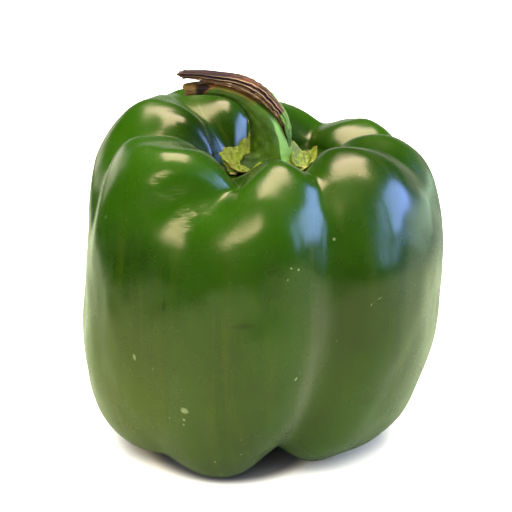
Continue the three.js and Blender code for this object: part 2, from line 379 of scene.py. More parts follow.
def furrow_depth(azimuth, station):
    """How far the furrows sink the skin, less the rise of the swellings."""
    softness = along_side(FURROW_SOFTNESS, station)
    depth = np.zeros_like(azimuth)
    for azimuths, depths, half_width in FURROWS:
        away = wrap(azimuth - along_section(azimuths, station)) / half_width
        slope = np.hypot(away, softness) - softness
        full = np.hypot(1, softness) - softness
        depth += along_section(depths, station) * np.clip(1 - slope / full, 0, 1) ** 2
    for middle, level, reach, half_width, half_length in SWELLINGS:
        across = facing(azimuth, middle, half_width)
        depth -= reach * across * bell((station - level) / half_length)
    fade = ease(station / FURROW_START) * fall(station, FURROW_END, 4 - FURROW_END)
    return depth * fade


def round_axis(radius, angle, height):
    """Points, or directions, at an angle in radians round the upright axis."""
    flat = radius * np.cos(angle), radius * np.sin(angle)
    return np.stack(np.broadcast_arrays(*flat, height), -1)


def skin_points(azimuth, station):
    """Points of the skin in millimetres, one row for each azimuth and station."""
    nudge = 0.004
    radius, height = section(azimuth, station)
    before, after = section(azimuth, station - nudge), section(azimuth, station + nudge)
    along_r, along_z = after[0] - before[0], after[1] - before[1]
    length = np.hypot(along_r, along_z)
    depth = furrow_depth(azimuth, np.clip(station, 0, 4))
    radius = radius + depth * along_z / length
    height = np.maximum(height - depth * along_r / length, 0)
    points = round_axis(radius, np.radians(azimuth), height)
    points[..., 0] += SEAT_X * (1 - ease(station))
    return points


def frame_shift():
    """From the fruit's own axis to the frame, whose origin is under the middle of the whole."""
    columns = np.arange(0, 360, 360 / CAD_COLUMNS)
    rows = np.clip(np.linspace(-SEAT_SHARE, 4, CAD_ROWS + 1), 0, 4)
    points = skin_points(*np.meshgrid(columns, rows)).reshape(-1, 3)
    middle = (points.min(0) + points.max(0)) / 2
    low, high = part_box("fruit")
    return np.array([(low.x + high.x) / 2 / MM - middle[0], (low.y + high.y) / 2 / MM - middle[1], 0])


SHIFT = frame_shift()


def in_frame(points):
    """Millimetres on the fruit's own axis to metres in the frame."""
    return (np.asarray(points, float) + SHIFT) * MM


def waves(points, length, seed, count=14):
    """Smooth irregular field of about unit size with features of the given length."""
    rng = np.random.default_rng(seed)
    field = np.zeros(len(points))
    for _ in range(count):
        direction = rng.normal(size=3)
        direction /= np.linalg.norm(direction)
        stretch = rng.uniform(0.7, 1.5)
        phase = rng.uniform(0, 2 * np.pi)
        field += np.sin(points @ direction * (2 * np.pi * stretch / length) + phase)
    return field / math.sqrt(count / 2)


def nearness(points, centre, reach):
    """1 at a centre, and almost 0 from twice the reach on, which may differ along each axis."""
    return bell(np.linalg.norm((points - centre) / reach, axis=1))


def vectors(items, field):
    """One row of three numbers for each item of a mesh."""
    flat = np.zeros(len(items) * 3, np.float32)
    items.foreach_get(field, flat)
    return flat.reshape(-1, 3).astype(float)


def coordinates(obj):
    return vectors(obj.data.vertices, "co")


def set_coordinates(obj, points):
    obj.data.vertices.foreach_set("co", np.asarray(points, np.float32).ravel())
    obj.data.update()


def mark(obj, name, values):
    """Stores one number, or one vector, for each vertex."""
    values = np.asarray(values, np.float32)
    kind, field = ("FLOAT", "value") if values.ndim == 1 else ("FLOAT_VECTOR", "vector")
    attribute = obj.data.attributes.new(name, kind, "POINT")
    attribute.data.foreach_set(field, values.ravel())


def added(name, primitive, **sizes):
    """A new primitive under its own name."""
    if bpy.context.object and bpy.context.object.mode != "OBJECT":
        bpy.ops.object.mode_set(mode="OBJECT")
    bpy.ops.object.select_all(action="DESELECT")
    primitive(**sizes)
    obj = bpy.context.active_object
    obj.name = obj.data.name = name
    return obj


def added_ball(name, columns, rows):
    """A ball, with the azimuth in degrees and the level from -1 to 1 of each vertex."""
    sphere = bpy.ops.mesh.primitive_uv_sphere_add
    ball = added(name, sphere, segments=columns, ring_count=rows, radius=1)
    x, y, level = coordinates(ball).T
    return ball, np.degrees(np.arctan2(y, x)), np.clip(level, -1, 1)


def modified(obj, kind, **settings):
    """Applies one modifier to the piece just added."""
    modifier = obj.modifiers.new(kind, kind)
    for name, value in settings.items():
        setattr(modifier, name, value)
    bpy.ops.object.modifier_apply(modifier=modifier.name)


def finish_piece(obj, material, slot, *nodes):
    """Smooths the piece just added, gives it its finish, hangs it under the root body and hides the nodes
    it replaces.
    """
    bpy.ops.object.shade_smooth()
    obj.data.materials.clear()
    obj.data.materials.append(material)
    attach(obj, "root")
    if nodes:
        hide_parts(*nodes)


class Finish:
    """One material whose shader nodes are added and wired by short calls."""

    def __init__(self, name, color):
        self.color, self.normal = opaque(color), None
        self.material = bpy.data.materials.new(name)
        self.material.use_nodes = True
        self.tree = self.material.node_tree
        self.shader = self.tree.nodes["Principled BSDF"]

    def feed(self, socket, value):
        if isinstance(value, bpy.types.NodeSocket):
            self.tree.links.new(value, socket)
        else:
            socket.default_value = value

    def node(self, kind, inputs=(), **settings):
        node = self.tree.nodes.new("ShaderNode" + kind)
        for name, value in settings.items():
            setattr(node, name, value)
        for name, value in dict(inputs).items():
            self.feed(node.inputs[name], value)
        return node

    def position(self):
        return self.node("TexCoord").outputs["Object"]

    def attribute(self, name, output="Fac"):
        return self.node("Attribute", attribute_name=name).outputs[output]

    def mapped(self, vector, location=(0, 0, 0), rotation=(0, 0, 0), scale=(1, 1, 1), kind="POINT"):
        inputs = {"Vector": vector, "Location": location, "Rotation": rotation, "Scale": scale}
        return self.node("Mapping", inputs, vector_type=kind).outputs["Vector"]

    def noise(self, vector, scale, detail=2.0, roughness=0.5, distortion=0.0):
        inputs = {"Vector": vector, "Scale": scale, "Detail": detail}
        inputs.update({"Roughness": roughness, "Distortion": distortion})
        return self.node("TexNoise", inputs).outputs["Fac"]

    def cells(self, vector, scale, output="Distance"):
        return self.node("TexVoronoi", {"Vector": vector, "Scale": scale}).outputs[output]

    def range(self, value, low, high, to_low=0.0, to_high=1.0):
        inputs = {"Value": value, "From Min": low, "From Max": high, "To Min": to_low, "To Max": to_high}
        return self.node("MapRange", inputs, interpolation_type="SMOOTHSTEP").outputs["Result"]

    def math(self, operation, first, second=0.0):
        return self.node("Math", {0: first, 1: second}, operation=operation).outputs[0]

    def plus(self, first, second):
        return self.math("ADD", first, second)

    def times(self, first, second):
        return self.math("MULTIPLY", first, second)

    def length(self, vector):
        return self.node("VectorMath", {0: vector}, operation="LENGTH").outputs["Value"]

    def blend(self, share, first, second):
        """Colour that goes from first to second as share goes from 0 to 1."""
        return self.node("Mix", {0: share, 6: first, 7: second}, data_type="RGBA").outputs[2]

    def paint(self, share, color, factor=1.0):
        """Covers the colour so far by another one, as share goes from 0 to 1."""
        self.color = self.blend(share, self.color, opaque(color, factor))

    def emboss(self, height, distance, strength=1.0):
        """Adds fine relief to what is there so far."""
        inputs = {"Height": height, "Distance": distance, "Strength": strength}
        if self.normal:
            inputs["Normal"] = self.normal
        self.normal = self.node("Bump", inputs).outputs["Normal"]

    def surface(self, **values):
        """The finished material, with values for more of the shader's sockets."""
        values["Base_Color"] = self.color
        if self.normal:
            values["Normal"] = self.normal
        for name, value in values.items():
            self.feed(self.shader.inputs[name.replace("_", " ")], value)
        return self.material

    def spots(self, marks, ragged, outer, inner):
        """1 on the oval marks and 0 off them, with ragged edges."""
        covered = 0.0
        for centre, half_sizes, turn in marks:
            across, upright = (size * MM for size in half_sizes)
            scale = (across, 1.5 * max(across, upright), upright)
            turned = (0, math.radians(turn), 0)
            oval = self.mapped(self.position(), tuple(in_frame(centre)), turned, scale, "TEXTURE")
            away = self.plus(self.length(oval), ragged)
            covered = self.math("MAXIMUM", covered, self.range(away, outer, inner))
        return covered


def opaque(color, factor=1.0):
    return tuple(min(c * factor, 1.0) for c in color[:3]) + (1.0,)


def skin_finish(look):
    """Waxy green skin: mottled and streaked from stem to base, with pale dots and scuffs."""
    skin = Finish("pepper_skin", look.skin_deep)
    place = skin.position()
    grain = skin.attribute("grain", "Vector")
    skin.paint(skin.range(skin.noise(place, 34, 3, 0.55), 0.35, 0.68), look.skin_bright)
    streaks = skin.noise(grain, 9, 4, 0.6, 0.4)
    skin.paint(skin.range(streaks, 0.5, 0.78, 0, 0.32), look.skin_olive)
    mottle = skin.noise(place, 420, 4, 0.6)
    skin.paint(skin.range(mottle, 0.45, 0.75, 0, 0.22), look.skin_bright, 1.25)
    # More olive low on the front-left side.
    skin.paint(skin.times(skin.attribute("olive_low_left"), 0.55), look.skin_olive, 1.1)
    # Painted shade: darker beside the front furrow and on the right side.
    skin.paint(skin.times(skin.attribute("shade"), 0.4), look.skin_deep, 0.5)
    # Pale fine streaks low on the left side.
    fine_streaks = skin.range(skin.noise(grain, 26, 3, 0.6), 0.42, 0.78)
    left_streaks = skin.times(skin.attribute("edge"), 0.3)
    skin.paint(skin.times(fine_streaks, left_streaks), look.scuff_color, 0.7)
    # Painted light: a brighter green towards the top, held back on the right side.
    skin.paint(skin.attribute("painted_top_light"), look.skin_bright, 1.9)
    # Painted reflection: a greyish strip beside the front furrow.
    furrow_reflection = skin.times(skin.attribute("furrow_reflection"), skin.range(streaks, 0.25, 0.7, 0.35, 0.75))
    skin.paint(furrow_reflection, look.furrow_reflection_color)
    dots = skin.range(skin.cells(place, 210), 0.075, 0.035)
    picked = skin.node("SeparateColor", {"Color": skin.cells(place, 210, "Color")}).outputs["Red"]
    dots = skin.times(dots, skin.range(picked, 0.86, 0.9))
    skin.paint(skin.times(dots, 0.5), look.scuff_color, 0.6)
    ragged = skin.times(skin.noise(place, 1500, 3, 0.6), 0.9)
    skin.paint(skin.times(skin.spots(SMUDGES, ragged, 2.1, 0.6), 0.6), look.skin_deep, 0.4)
    scuffs = skin.spots(SCUFFS, ragged, 1.65, 0.95)
    skin.paint(skin.times(scuffs, 0.7), look.scuff_color)
    dull = skin.attribute("dull")
    skin.paint(skin.times(dull, 0.2), look.skin_olive, 1.4)
    scar = skin.attribute("scar")
    skin.paint(scar, look.scar_color)
    depth = look.wrinkle_depth
    skin.emboss(skin.noise(grain, 45, 3, 0.6), depth * 0.35, 0.5)
    faint = skin.noise(skin.mapped(place, scale=(0.5, 0.5, 1.0)), 520, 3, 0.55, 0.3)
    skin.emboss(faint, depth * 0.7, 0.1)
    skin.emboss(skin.noise(place, 1700, 3, 0.6), depth * 0.2, 0.05)
    ripples = skin.noise(skin.mapped(place, scale=(0.3, 0.3, 1.0)), 1500, 2, 0.5, 0.5)
    skin.emboss(skin.times(ripples, skin.attribute("crumple")), depth)
    lowest = look.skin_roughness
    rough = skin.range(skin.noise(place, 90, 4, 0.6), 0.3, 0.75, lowest, lowest + 0.1)
    rough = skin.plus(rough, skin.times(skin.math("MAXIMUM", scuffs, scar), 0.4))
    dull = skin.times(dull, skin.range(streaks, 0.3, 0.65, 0.5, 1.0))
    rough = skin.plus(rough, skin.times(dull, 0.2))
    return skin.surface(Roughness=rough, IOR=1.47, Specular_Tint=(1.0, 0.97, 0.62, 1))


def calyx_finish(look):
    """Yellow-green leaf, mottled, with veins, dark dots and dried brown edges."""
    leaf = Finish("calyx_leaf", look.calyx_color)
    place = leaf.position()
    mottle = leaf.noise(place, 700, 4, 0.65)
    leaf.paint(leaf.range(mottle, 0.36, 0.64), look.calyx_color, 0.6)
    broad = leaf.noise(place, 210, 3, 0.5)
    leaf.paint(leaf.range(broad, 0.48, 0.64, 0, 0.55), look.stalk_color, 1.3)
    leaf.paint(leaf.range(leaf.cells(place, 900), 0.22, 0.12, 0, 0.6), look.stalk_color, 0.5)
    rim = leaf.plus(leaf.attribute("rim"), leaf.times(broad, 0.26))
    leaf.paint(leaf.range(rim, 1.04, 1.18, 0, 0.6), look.husk_color)
    leaf.paint(leaf.attribute("pale"), look.fibre_color)
    veins = leaf.noise(leaf.attribute("grain", "Vector"), 11, 3, 0.6)
    leaf.emboss(veins, 0.0007, 0.6)
    leaf.emboss(mottle, 0.0002, 0.5)
    return leaf.surface(Roughness=0.6, Specular_IOR_Level=0.3)


def stalk_finish(look):
    """Satin green stem with fine fibres, painted paler on the face towards the window and painted darker at
    its flared foot and under its bend, brown along its split and at its tip.
    """
    stalk = Finish("green_stalk", look.stalk_color)
    place = stalk.position()
    fibres = stalk.noise(stalk.attribute("grain", "Vector"), 16, 4, 0.6)
    mottle = stalk.noise(place, 420, 3, 0.6)
    stalk.paint(stalk.range(mottle, 0.4, 0.68), look.stalk_color, 1.5)
    stalk.paint(stalk.range(fibres, 0.5, 0.8, 0, 0.3), look.calyx_color, 0.7)
    # Painted light: the face towards the window is painted pale mint.
    pale = stalk.plus(stalk.attribute("pale"), stalk.range(fibres, 0.3, 0.7, -0.15, 0.15))
    stalk.paint(stalk.range(pale, 0.2, 0.8), look.lit_face_and_fresh_green)
    # Painted shade at the flared foot and under the bend.
    stalk.paint(stalk.attribute("dim"), look.stalk_color, 0.35)
    dry = stalk.plus(stalk.attribute("dry"), stalk.range(fibres, 0.3, 0.7, -0.2, 0.2))
    stalk.paint(stalk.range(dry, 0.35, 0.55), look.husk_color)
    stalk.paint(stalk.range(dry, 0.75, 0.95), look.husk_dark)
    stalk.paint(stalk.times(stalk.attribute("ridge"), 0.8), look.fibre_color)
    stalk.paint(stalk.attribute("cut"), look.cut_color)
    stalk.emboss(fibres, 0.0005, 0.6)
    stalk.emboss(stalk.noise(place, 1500, 3, 0.6), 0.0001, 0.6)
    return stalk.surface(Roughness=0.48, Specular_IOR_Level=0.25)


def husk_finish(look):
    """Dried fibrous strand: brown with dark and pale stripes, green near its foot."""
    husk = Finish("dried_husk", look.husk_color)
    fibres = husk.noise(husk.attribute("grain", "Vector"), 22, 5, 0.65, 0.3)
    blotches = husk.noise(husk.position(), 330, 3, 0.6)
    husk.paint(husk.range(blotches, 0.4, 0.62), look.husk_color, 0.5)
    dark = husk.plus(husk.attribute("dark"), husk.range(blotches, 0.35, 0.65, -0.25, 0.25))
    husk.paint(husk.range(dark, 0.3, 0.8, 0, 0.9), look.husk_violet)
    tone = husk.plus(husk.attribute("stripe"), husk.range(fibres, 0.3, 0.7, -0.28, 0.28))
    husk.paint(husk.range(tone, -0.25, -0.65, 0, 0.92), look.husk_dark)
    husk.paint(husk.range(tone, 0.35, 0.85, 0, 0.9), look.fibre_color)
    green = husk.plus(husk.attribute("fresh"), husk.range(fibres, 0.3, 0.7, -0.2, 0.2))
    husk.paint(husk.range(green, 0.4, 0.7), look.lit_face_and_fresh_green, 1.1)
    husk.paint(husk.attribute("cut"), look.cut_color)
    husk.emboss(fibres, 0.0006, 0.8)
    husk.emboss(tone, 0.0002, 0.5)
    return husk.surface(Roughness=0.65, Specular_IOR_Level=0.25)


def fibre_finish(look):
    """Pale torn fibres."""
    fibre = Finish("torn_fibre", [0.7 * c for c in look.husk_color])
    tint = fibre.noise(fibre.position(), 900, 2, 0.5)
    fibre.paint(fibre.range(tint, 0.5, 0.75), look.fibre_color)
    return fibre.surface(Roughness=0.6)


def table_finish():
    """Matt white, shaded round the pepper's feet, and darker in what the gloss mirrors."""
    table = Finish("white_table", (0.86, 0.86, 0.86))
    place = table.position()
    table.paint(table.range(table.noise(place, 30, 2, 0.5), 0.3, 0.7), (0.9, 0.9, 0.9))
    for centre, half_sizes, full, shaded in CONTACT_SHADES:
        oval = table.mapped(place, location=centre, scale=half_sizes, kind="TEXTURE")
        table.paint(table.range(table.length(oval), 1.0, full), shaded)
    where = table.node("SeparateXYZ", {"Vector": place}).outputs
    right, far = table.range(where["X"], 0.04, 0.12), table.range(where["Y"], 0.06, 0.16)
    mirrored = table.blend(table.times(right, far), (0.34, 0.41, 0.27, 1), (0.18, 0.22, 0.18, 1))
    off_front = table.range(where["Y"], TABLE_Y[0], -0.15)
    off_right = table.range(where["X"], TABLE_X[1], 0.2)
    mirrored = table.blend(table.times(off_front, off_right), (0.04, 0.08, 0.01, 1), mirrored)
    in_gloss = table.node("LightPath").outputs["Is Glossy Ray"]
    table.color = table.blend(in_gloss, table.color, mirrored)
    return table.surface(Roughness=0.7, Specular_IOR_Level=0.2)


def color_setting(name, description, default):
    """A colour that can be changed in the sidebar."""
    return bpy.props.FloatVectorProperty(
        name=name, description=description, subtype="COLOR", default=default
    )


def length_setting(name, description, default):
    """A length that can be changed in the sidebar."""
    return bpy.props.FloatProperty(name=name, description=description, unit="LENGTH", default=default)


class BellPepperLook(bpy.types.PropertyGroup):
    """Sizes and colours of the pepper and its studio."""

    fruit_columns: bpy.props.IntProperty(
        name="Fruit Columns", description="Faces round the fruit", default=360, min=48
    )
    fruit_rows: bpy.props.IntProperty(
        name="Fruit Rows", description="Faces from the calyx to the blossom scar", default=256, min=48
    )
    skin_deep: color_setting("Deep Skin", "Darker green of the skin", (0.004, 0.0175, 0.0001))
    skin_bright: color_setting("Bright Skin", "Lighter green of the skin", (0.008, 0.03, 0.0001))
    skin_olive: color_setting("Olive Skin", "Yellowish green of streaks", (0.036, 0.048, 0.0007))
    scuff_color: color_setting("Scuffs", "Pale scuffs and dots", (0.15, 0.18, 0.075))
    # Colour of the painted reflection beside the front furrow.
    furrow_reflection_color: color_setting("Furrow_Reflection", "Greyish reflection along a furrow", (0.075, 0.08, 0.055))
    scar_color: color_setting("Blossom Scar", "Corky scar under the fruit", (0.25, 0.2, 0.09))
    calyx_color: color_setting("Calyx", "Yellow-green of the calyx", (0.112, 0.148, 0.002))
    stalk_color: color_setting("Stalk", "Green of the stem", (0.024, 0.056, 0.0002))
    # Painted light on the stalk's face towards the window, and the green at the dried strand's foot.
    lit_face_and_fresh_green: color_setting("Pale Stalk", "Mint green of one face", (0.14, 0.28, 0.04))
    husk_color: color_setting("Husk", "Brown of the dried strand", (0.12, 0.043, 0.007))
    husk_violet: color_setting("Violet Husk", "Dull violet-brown towards the tip", (0.026, 0.011, 0.0065))
    husk_dark: color_setting("Dark Husk", "Darkest stripes of the husk", (0.01, 0.004, 0.003))
    fibre_color: color_setting("Fibres", "Tan torn fibres", (0.42, 0.3, 0.16))
    cut_color: color_setting("Cut End", "Tan of the cut tips", (0.11, 0.065, 0.015))
    skin_roughness: bpy.props.FloatProperty(
        name="Skin Roughness", description="Lowest roughness", subtype="FACTOR", default=0.21, min=0, max=1
    )
    wrinkle_depth: length_setting("Wrinkle Depth", "Height of the fine ripples", 0.00012)
    undulation: length_setting("Undulation", "Height of the broad unevenness", 0.00016)
    camera_distance: length_setting("Camera Distance", "From the camera to the fruit's middle", 0.4)
    camera_elevation: bpy.props.FloatProperty(
        name="Camera Elevation", description="Camera looks down", subtype="ANGLE", default=math.radians(20)
    )


class BELLPEPPER_OT_fruit(bpy.types.Operator):
    """Grow the lobed fruit with its fine skin"""

    bl_idname = "bellpepper.fruit"
    bl_label = "Grow Fruit"

    def execute(self, context):
        look = context.scene.bell_pepper
        fruit, azimuth, level = added_ball("pepper_fruit", look.fruit_columns, look.fruit_rows)
        run = np.arccos(level) / np.pi * (4 + SEAT_SHARE) - SEAT_SHARE
        station = np.where(run < 0, run / SEAT_SHARE, np.minimum(run, 4))
        points = skin_points(azimuth, station)
        set_coordinates(fruit, in_frame(points))
        lift = sum(height * nearness(points, centre, reach) for centre, reach, height in DENTS)
        crumple = sum(strength * nearness(points, centre, reach) for centre, reach, strength in CRUMPLES)
        calm = ease(points[:, 2] / 4)
        uneven = look.undulation / MM
        lift += calm * uneven * (waves(points, 19, seed=3) + 0.25 * waves(points, 9, seed=5))
        lift += calm * crumple * CRUMPLE_HEIGHT * waves(points * (0.5, 0.5, 1), 2.6, seed=8)
        moved = points + vectors(fruit.data.vertex_normals, "vector") * lift[:, None]
        moved[:, 2] = np.where(points[:, 2] <= 0, 0, np.maximum(moved[:, 2], 0))
        set_coordinates(fruit, in_frame(moved))
        self.mark_skin(fruit, azimuth, station, points, crumple)
        finish_piece(fruit, skin_finish(look), "skin", "fruit")
        return {"FINISHED"}

    def mark_skin(self, fruit, azimuth, station, points, crumple):
        """Stores where the skin is crumpled, more olive low on the front left, pale-streaked low on the
        left, painted lighter towards the top, painted with a greyish reflection beside the front furrow,
        painted with shade, dull or corky.
        """
        height = points[:, 2]
        mark(fruit, "grain", round_axis(1, np.radians(azimuth), station * 0.12))
        mark(fruit, "crumple", np.clip(crumple, 0, 1))
        # More olive low on the front-left side.
        mark(fruit, "olive_low_left", facing(azimuth, -150, 34) * rise(height, 62, -40))
        mark(fruit, "edge", facing(azimuth, -168, 24) * rise(height, 60, -30))
        # Painted light: brighter towards the top, held back on the right side.
        right = 0.85 * facing(azimuth, -35, 45)
        painted_top_light = 0.6 * rise(height, 58, 16) * rise(station, 0.6, 0.5) * (1 - right)
        mark(fruit, "painted_top_light", painted_top_light)
        groove = along_section(FRONT_FURROW_AZIMUTHS, station)
        # Painted reflection: a greyish strip beside the front furrow, fading out towards the top and the
        # base.
        beside = 2.6 + 1.9 * rise(height, 50, -30)
        furrow_reflection = 0.48 * facing(azimuth, groove - beside, 3.8) * rise(height, 62, -14)
        mark(fruit, "furrow_reflection", furrow_reflection * rise(height, 4, 14))
        # Painted shade along one side of the front furrow and on the right side.
        shade = facing(azimuth, groove + 6, 7) * rise(height, 66, -12) * ease(height / 12)
        painted_shade_right = 0.8 * facing(azimuth, -32, 26) * rise(height, 48, 10)
        mark(fruit, "shade", np.maximum(shade, painted_shade_right))
        mark(fruit, "dull", nearness(points, *DULL_PLACE))
        off_centre = np.hypot(points[:, 0], points[:, 1])
        mark(fruit, "scar", fall(off_centre, SCAR_RADIUS, 1.2) * (height < 40))


def hollow_height(azimuth, reach):
    """Height of the hollow's floor and wall under a point of the calyx."""
    shoulder_r, shoulder_z, _ = around_ring(SHOULDERS, azimuth)
    foot = wall_foot(azimuth)
    out = np.clip((reach - SEAT_RADIUS) / (foot - SEAT_RADIUS), 0, 1)
    falling = np.clip((shoulder_r - reach) / (shoulder_r - foot), 0, 1) ** (FULLNESS[0] / 2)
    rising = np.sqrt(1 - falling * falling) ** (2 / FULLNESS[0])
    floor_z = SEAT_HEIGHT + FLOOR_RISE * out**2
    return floor_z + (shoulder_z - floor_z) * rising


class BELLPEPPER_OT_calyx(bpy.types.Operator):
    """Grow the leafy disc with its pointed teeth in the hollow"""

    bl_idname = "bellpepper.calyx"
    bl_label = "Grow Calyx"

    def execute(self, context):
        look = context.scene.bell_pepper
        calyx, azimuth, level = added_ball("pepper_calyx", columns=240, rows=72)
        rim = np.full_like(level, CALYX_RADIUS)
        curl = np.zeros_like(level)
        for middle, reach, lift in TEETH:
            away = np.abs(wrap(azimuth - middle)) / TOOTH_HALF_WIDTH
            tooth = np.clip(1 - away, 0, 1) ** 1.7
            rim += (reach - CALYX_RADIUS) * tooth
            curl += lift * tooth
        reach = rim * np.sqrt(1 - level * level)
        share = reach / rim
        angle = np.radians(azimuth)
        flat = round_axis(reach, angle, 0)
        dish = 0.095 * np.maximum(reach - 8, 0) ** 2
        on_wall = hollow_height(azimuth, reach) + 0.75 * rise(reach, 12.5, 0.6)
        underside = np.maximum(SEAT_HEIGHT + 0.3 + dish, on_wall)
        underside += curl * rise(share, 0.72, 0.28) + 0.35 * share**2 * waves(flat, 6, seed=21)
        pleats = 0.16 * share * np.cos(np.radians(azimuth * 15)) + 0.2 * waves(flat, 2.4, seed=22) * share
        collar = 1.5 * fall(reach, 5.6, 3.4)
        top = ease(level * 4 + 0.5)
        height = underside + CALYX_THICKNESS * (1 + level) / 2 + top * (collar + pleats)
        points = flat + (SEAT_X, 0, 0)
        points[:, 2] = height
        set_coordinates(calyx, in_frame(points))
        mark(calyx, "rim", share)
        mark(calyx, "grain", round_axis(1, angle, share * 0.15))
        finish = calyx_finish(look)
        finish_piece(calyx, finish, "calyx", "calyx")
        for index, (*corners, curl) in enumerate(FLAPS):
            self.flap(f"pepper_calyx_flap_{index + 1}", np.array(corners), curl, finish)
        return {"FINISHED"}

    def flap(self, name, corners, curl, finish):
        """A thin leaf between four corners, sagging between them."""
        grid = bpy.ops.mesh.primitive_grid_add
        flap = added(name, grid, x_subdivisions=40, y_subdivisions=40, size=2)
        local = coordinates(flap)
        outwards, rearwards = ((local[:, k : k + 1] + 1) / 2 for k in (0, 1))
        front_stem, rear_stem, front_tip, rear_tip = corners
        front = front_stem + (front_tip - front_stem) * outwards
        rear = rear_stem + (rear_tip - rear_stem) * outwards
        points = front + (rear - front) * rearwards
        out, back = outwards[:, 0], rearwards[:, 0]
        points[:, 2] -= 2.4 * out * (1 - out) * back + 1.2 * back * (1 - back)
        points[:, 2] += curl * rise(out, 0.76, 0.24) * rise(back, 0.62, 0.38)
        points[:, 2] += 0.22 * waves(points, 3.0, seed=51) + 0.12 * waves(points, 1.3, seed=52)
        set_coordinates(flap, in_frame(points))
        mark(flap, "rim", 0.72 + 0.3 * rise(back, 0.8, 0.2) * rise(out, 0.1, 0.9))
        mark(flap, "pale", 0.5 * rise(back, 0.08, -0.06) * rise(out, 0.5, 0.3))
        mark(flap, "grain", np.stack([back, out * 0.1, np.zeros(len(out))], -1))
        modified(flap, "SOLIDIFY", thickness=FLAP_THICKNESS * MM)
        modified(flap, "SUBSURF", levels=1, render_levels=1)
        finish_piece(flap, finish, "calyx")


def spline(stations, share):
    """Smooth curve through evenly spaced stations, read at shares from 0 to 1."""
    rows = np.array(stations, float)
    rows = np.concatenate([[2 * rows[0] - rows[1]], rows, [2 * rows[-1] - rows[-2]]])
    along = np.clip(share, 0, 1) * (len(rows) - 3)
    i = np.minimum(along.astype(int), len(rows) - 4)
    t = (along - i)[:, None]
    a, b, c, d = (rows[i + k] for k in range(4))
    bent = (2 * a - 5 * b + 4 * c - d) * t**2
    twisted = (3 * b - a - 3 * c + d) * t**3
    return 0.5 * (2 * b + (c - a) * t + bent + twisted)


def grown_bar(name, stations, shape, sides, steps):
    """A closed bar along the stations. shape gives the section's radius at (angle, share)."""
    cylinder = bpy.ops.mesh.primitive_cylinder_add
    bar = added(name, cylinder, vertices=sides, radius=1, depth=2, end_fill_type="TRIFAN")
    bpy.ops.object.mode_set(mode="EDIT")
    bpy.ops.mesh.select_mode(type="EDGE")
    bpy.ops.mesh.select_all(action="DESELECT")
    bpy.ops.object.mode_set(mode="OBJECT")
    for edge in bar.data.edges:
        low, high = (bar.data.vertices[v].co.z for v in edge.vertices)
        edge.select = abs(low - high) > 1
    bpy.ops.object.mode_set(mode="EDIT")
    bpy.ops.mesh.subdivide(number_cuts=steps - 1)
    bpy.ops.object.mode_set(mode="OBJECT")
    local = coordinates(bar)
    share = (local[:, 2] + 1) / 2
    angle = np.arctan2(local[:, 1], local[:, 0])
    rows = spline(stations, share)
    ahead, behind = spline(stations, share + 0.004), spline(stations, share - 0.004)
    along = (ahead - behind)[:, :2]
    along /= np.linalg.norm(along, axis=1)[:, None]
    radius = np.hypot(local[:, 0], local[:, 1]) * shape(angle, share)
    across = radius * np.cos(angle) * rows[:, 2] / 2
    sideways = radius * np.sin(angle) * rows[:, 3] / 2
    x, height = rows[:, 0] + across * along[:, 1], rows[:, 1] - across * along[:, 0]
    centre_line = spline(stations, np.linspace(0, 1, 200))[:, :2]
    length = np.linalg.norm(np.diff(centre_line, axis=0), axis=1).sum()
    mark(bar, "grain", round_axis(1, angle, share * length * 0.012))
    return bar, np.stack([x, sideways, height], -1), angle, share


def keeled(angle, count, first, rise):
    """Section with count blunt keels, the first at the given angle."""
    return 1 + rise * (1 - 2 * np.abs(np.sin((angle - first) * count / 2)))


class BELLPEPPER_OT_stalk(bpy.types.Operator):
    """Grow the keeled green stalk with its flared foot and cut tip"""

    bl_idname = "bellpepper.stalk"
    bl_label = "Grow Stalk"

    def execute(self, context):
        look = context.scene.bell_pepper

        def shape(angle, share):
            keels = keeled(angle, 5, math.radians(-62), 0.075 * (1 - 0.5 * share))
            height = fall(share, 0.15, 0.08)
            buttress = 0.44 * facing(np.degrees(angle), -150, 17) * height
            return keels + buttress + 0.012 * np.cos(11 * angle + 9 * share)

        bar, points, angle, share = grown_bar("pepper_stalk", STALK, shape, sides=72, steps=110)
        tip = rise(share, 0.965, 0.035)
        points[:, 0] += tip * 0.5 * np.sin(3 * angle + 1) - 0.25 * tip
        points += 0.06 * waves(points, 3.0, seed=31)[:, None] * (1, 1, 0)
        set_coordinates(bar, in_frame(points))
        degrees = np.degrees(angle)
        top = facing(degrees, 0, 75)
        upper = top * rise(share, 0.5, 0.16)
        near_tip = rise(share, 0.9 - 0.1 * top, 0.04)
        near_tip = near_tip * (0.8 + 0.4 * bell((share - 0.93) / 0.035))
        mark(bar, "dry", np.maximum(upper * 0.8, near_tip))
        hole = 0.9 * facing(degrees, -95, 38) * bell((share - 0.984) / 0.013)
        mark(bar, "cut", rise(share, 0.945, 0.02) * (1 - hole))
        face = rise(degrees, -68, 7) * fall(degrees, 4, 10)
        ridge = facing(degrees, -18, 9) * rise(share, 0.42, 0.1)
        mark(bar, "ridge", ridge * fall(share, 0.93, 0.03))
        # Painted light: the face towards the window is marked pale.
        mark(bar, "pale", face * rise(share, 0.02, 0.08) * fall(share, 0.34, 0.2))
        # Painted shade under the bend and at the flared foot.
        under = 0.7 * facing(degrees, -165, 38) * rise(share, 0.25, 0.2)
        foot = facing(degrees, -152, 24) * fall(share, 0.16, 0.1)
        mark(bar, "dim", np.maximum(foot, under))
        finish_piece(bar, stalk_finish(look), "stem", "stem")
        return {"FINISHED"}


def stripe_tone(angle, share):
    """Tone of the dried strand's stripes, which wander a little along it."""
    degrees = np.degrees(angle) + 4 * np.sin(7 * share + 1) + 2.5 * np.sin(19 * share)
    return sum(tone * facing(degrees, middle, half) for middle, half, tone in STRIPES)


